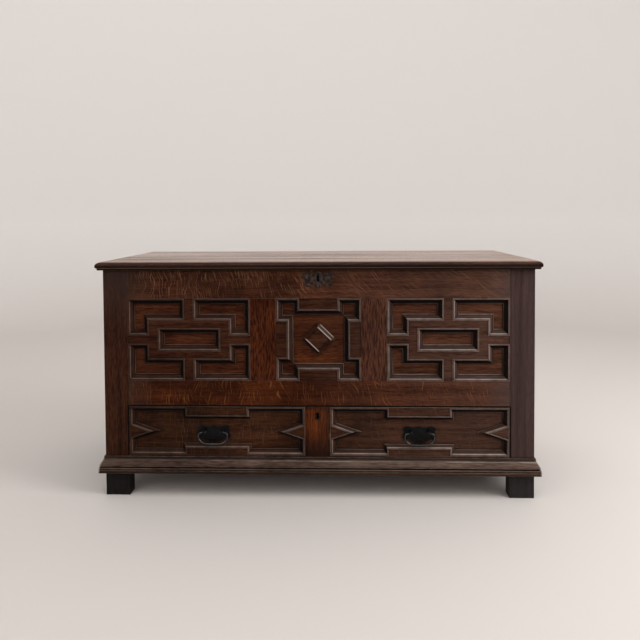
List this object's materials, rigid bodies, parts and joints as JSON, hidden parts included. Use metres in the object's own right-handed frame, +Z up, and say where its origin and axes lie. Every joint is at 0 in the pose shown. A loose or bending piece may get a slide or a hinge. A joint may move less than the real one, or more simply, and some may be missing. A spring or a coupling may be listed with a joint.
{
  "type": "oak mule chest",
  "caption": "Joined oak coffer with a hinged lid over a panelled well, geometric mitred mouldings and side-hung drawers with iron drop handles below.",
  "frame": {"origin": "on the floor, under the middle of the chest's bounding box", "axes": "+Z up, +X to the viewer's right along the length, the front faces -Y"},
  "size_m": [1.36, 0.5658, 0.7303],
  "materials": {
    "frame_oak": "waxed, dark",
    "panel_oak": "waxed, dark",
    "moulding_oak": "waxed, dark, worn edges",
    "divider_oak": "waxed, red brown",
    "drawer_front_oak": "waxed, dark",
    "base_oak": "worn and dusty",
    "lid_oak": "waxed, worn edges",
    "dry_oak": "dry, unwaxed",
    "black_iron": "blackened wrought iron"
  },
  "bodies": {
    "carcase": {"front_left_stile": "frame_oak", "front_right_stile": "frame_oak", "rear_left_stile": "frame_oak", "rear_right_stile": "frame_oak", "front_top_rail": "frame_oak", "front_mid_rail": "frame_oak", "front_bottom_rail": "frame_oak", "left_front_muntin": "frame_oak", "right_front_muntin": "frame_oak", "drawer_divider": "divider_oak", "left_front_panel": "panel_oak", "centre_front_panel": "panel_oak", "right_front_panel": "panel_oak", "left_panel_moulding": "moulding_oak", "centre_panel_moulding": "moulding_oak", "right_panel_moulding": "moulding_oak", "lozenge_boss": "moulding_oak", "left_end_top_rail": "frame_oak", "left_end_mid_rail": "frame_oak", "left_end_panel": "panel_oak", "left_end_lower_board": "panel_oak", "right_end_top_rail": "frame_oak", "right_end_mid_rail": "frame_oak", "right_end_panel": "panel_oak", "right_end_lower_board": "panel_oak", "back_top_rail": "dry_oak", "back_mid_rail": "dry_oak", "back_panel": "dry_oak", "back_lower_board": "dry_oak", "well_floor_front_board": "dry_oak", "well_floor_rear_board": "dry_oak", "left_drawer_runner": "dry_oak", "centre_drawer_runner": "dry_oak", "right_drawer_runner": "dry_oak", "base_moulding_front": "base_oak", "base_moulding_left": "base_oak", "base_moulding_right": "base_oak", "left_hinge_leaf": "black_iron", "right_hinge_leaf": "black_iron", "lock_escutcheon": "black_iron", "lock_case": "black_iron"},
    "lid_assembly": {"lid": "lid_oak", "left_hinge_strap": "black_iron", "right_hinge_strap": "black_iron", "lock_staple": "black_iron"},
    "bolt": {"lock_bolt": "black_iron"},
    "left_drawer": {"left_drawer_front": "drawer_front_oak", "left_drawer_left_side": "dry_oak", "left_drawer_right_side": "dry_oak", "left_drawer_back": "dry_oak", "left_drawer_bottom": "dry_oak", "left_handle_plate": "black_iron"},
    "right_drawer": {"right_drawer_front": "drawer_front_oak", "right_drawer_left_side": "dry_oak", "right_drawer_right_side": "dry_oak", "right_drawer_back": "dry_oak", "right_drawer_bottom": "dry_oak", "right_handle_plate": "black_iron"},
    "left_drop": {"left_bail": "black_iron"},
    "right_drop": {"right_bail": "black_iron"}
  },
  "joints": [
    {"name": "lid_hinge", "type": "hinge", "parent": "carcase", "child": "lid_assembly", "pos_m": [0, 0.2765, 0.6975], "axis": [-1, 0, 0], "range_deg": [0, 100]},
    {"name": "bolt_slide", "type": "slide", "parent": "carcase", "child": "bolt", "axis": [1, 0, 0], "range_m": [0, 0.012]},
    {"name": "left_drawer_slide", "type": "slide", "parent": "carcase", "child": "left_drawer", "axis": [0, -1, 0], "range_m": [0, 0.33]},
    {"name": "right_drawer_slide", "type": "slide", "parent": "carcase", "child": "right_drawer", "axis": [0, -1, 0], "range_m": [0, 0.33]},
    {"name": "left_bail_swing", "type": "hinge", "parent": "left_drawer", "child": "left_drop", "pos_m": [-0.3235, -0.2675, 0.2], "axis": [-1, 0, 0], "range_deg": [0, 100]},
    {"name": "right_bail_swing", "type": "hinge", "parent": "right_drawer", "child": "right_drop", "pos_m": [0.3135, -0.2675, 0.2], "axis": [-1, 0, 0], "range_deg": [0, 100]}
  ]
}
